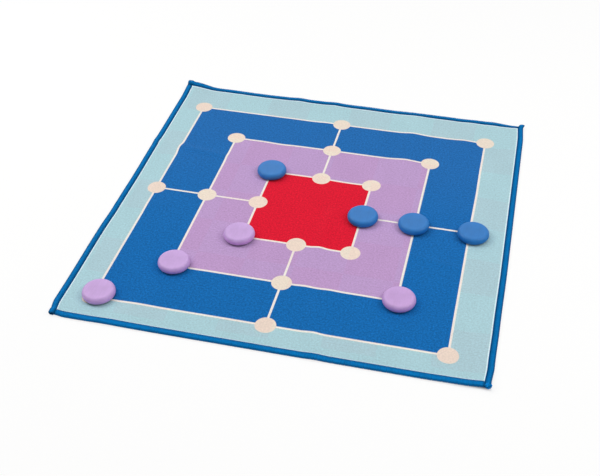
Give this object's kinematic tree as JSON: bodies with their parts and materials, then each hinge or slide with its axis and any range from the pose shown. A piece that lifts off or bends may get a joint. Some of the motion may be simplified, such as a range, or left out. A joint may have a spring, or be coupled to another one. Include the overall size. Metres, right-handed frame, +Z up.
{
  "type": "nine mens morris game mat",
  "caption": "Square cloth game mat printed with a nine men's morris board, edges overlocked, with round wooden men lying on its points.",
  "frame": {"origin": "middle of the cloth's underside, which lies on the table", "axes": "+Z up from the table, -Y towards the player at the mat's front edge, +X to that player's right"},
  "size_m": [0.4034, 0.4066, 0.0089],
  "materials": {
    "cloth": "matte soft microfibre",
    "edging_thread": "twisted polyester thread, soft sheen",
    "needle_thread": "twisted polyester thread, soft sheen",
    "print_aqua": "printed on matte microfibre",
    "print_blue": "printed on matte microfibre",
    "print_lilac": "printed on matte microfibre",
    "print_red": "printed on matte microfibre",
    "print_cream": "printed on matte microfibre",
    "blue_stain": "stained, smooth satin",
    "lilac_stain": "stained, smooth satin"
  },
  "bodies": {
    "mat": {"cloth": "cloth", "overlock_front": "edging_thread", "overlock_back": "edging_thread", "overlock_left": "edging_thread", "overlock_right": "edging_thread", "needle_thread_front": "needle_thread", "needle_thread_back": "needle_thread", "needle_thread_left": "needle_thread", "needle_thread_right": "needle_thread", "print_border": "print_aqua", "print_outer_field": "print_blue", "print_ring": "print_lilac", "print_centre": "print_red", "print_lines_and_points": "print_cream"},
    "blue_man_inner_corner": {"blue_man_inner_corner": "blue_stain"},
    "blue_man_inner_side": {"blue_man_inner_side": "blue_stain"},
    "blue_man_middle_side": {"blue_man_middle_side": "blue_stain"},
    "blue_man_outer_side": {"blue_man_outer_side": "blue_stain"},
    "lilac_man_inner_corner": {"lilac_man_inner_corner": "lilac_stain"},
    "lilac_man_middle_left_corner": {"lilac_man_middle_left_corner": "lilac_stain"},
    "lilac_man_outer_corner": {"lilac_man_outer_corner": "lilac_stain"},
    "lilac_man_middle_right_corner": {"lilac_man_middle_right_corner": "lilac_stain"}
  },
  "joints": [
    {"name": "blue_man_inner_corner_lift", "type": "slide", "parent": "mat", "child": "blue_man_inner_corner", "axis": [0, 0, 1], "range_m": [0, 0.06]},
    {"name": "blue_man_inner_side_lift", "type": "slide", "parent": "mat", "child": "blue_man_inner_side", "axis": [0, 0, 1], "range_m": [0, 0.06]},
    {"name": "blue_man_middle_side_lift", "type": "slide", "parent": "mat", "child": "blue_man_middle_side", "axis": [0, 0, 1], "range_m": [0, 0.06]},
    {"name": "blue_man_outer_side_lift", "type": "slide", "parent": "mat", "child": "blue_man_outer_side", "axis": [0, 0, 1], "range_m": [0, 0.06]},
    {"name": "lilac_man_inner_corner_lift", "type": "slide", "parent": "mat", "child": "lilac_man_inner_corner", "axis": [0, 0, 1], "range_m": [0, 0.06]},
    {"name": "lilac_man_middle_left_corner_lift", "type": "slide", "parent": "mat", "child": "lilac_man_middle_left_corner", "axis": [0, 0, 1], "range_m": [0, 0.06]},
    {"name": "lilac_man_outer_corner_lift", "type": "slide", "parent": "mat", "child": "lilac_man_outer_corner", "axis": [0, 0, 1], "range_m": [0, 0.06]},
    {"name": "lilac_man_middle_right_corner_lift", "type": "slide", "parent": "mat", "child": "lilac_man_middle_right_corner", "axis": [0, 0, 1], "range_m": [0, 0.06]}
  ]
}
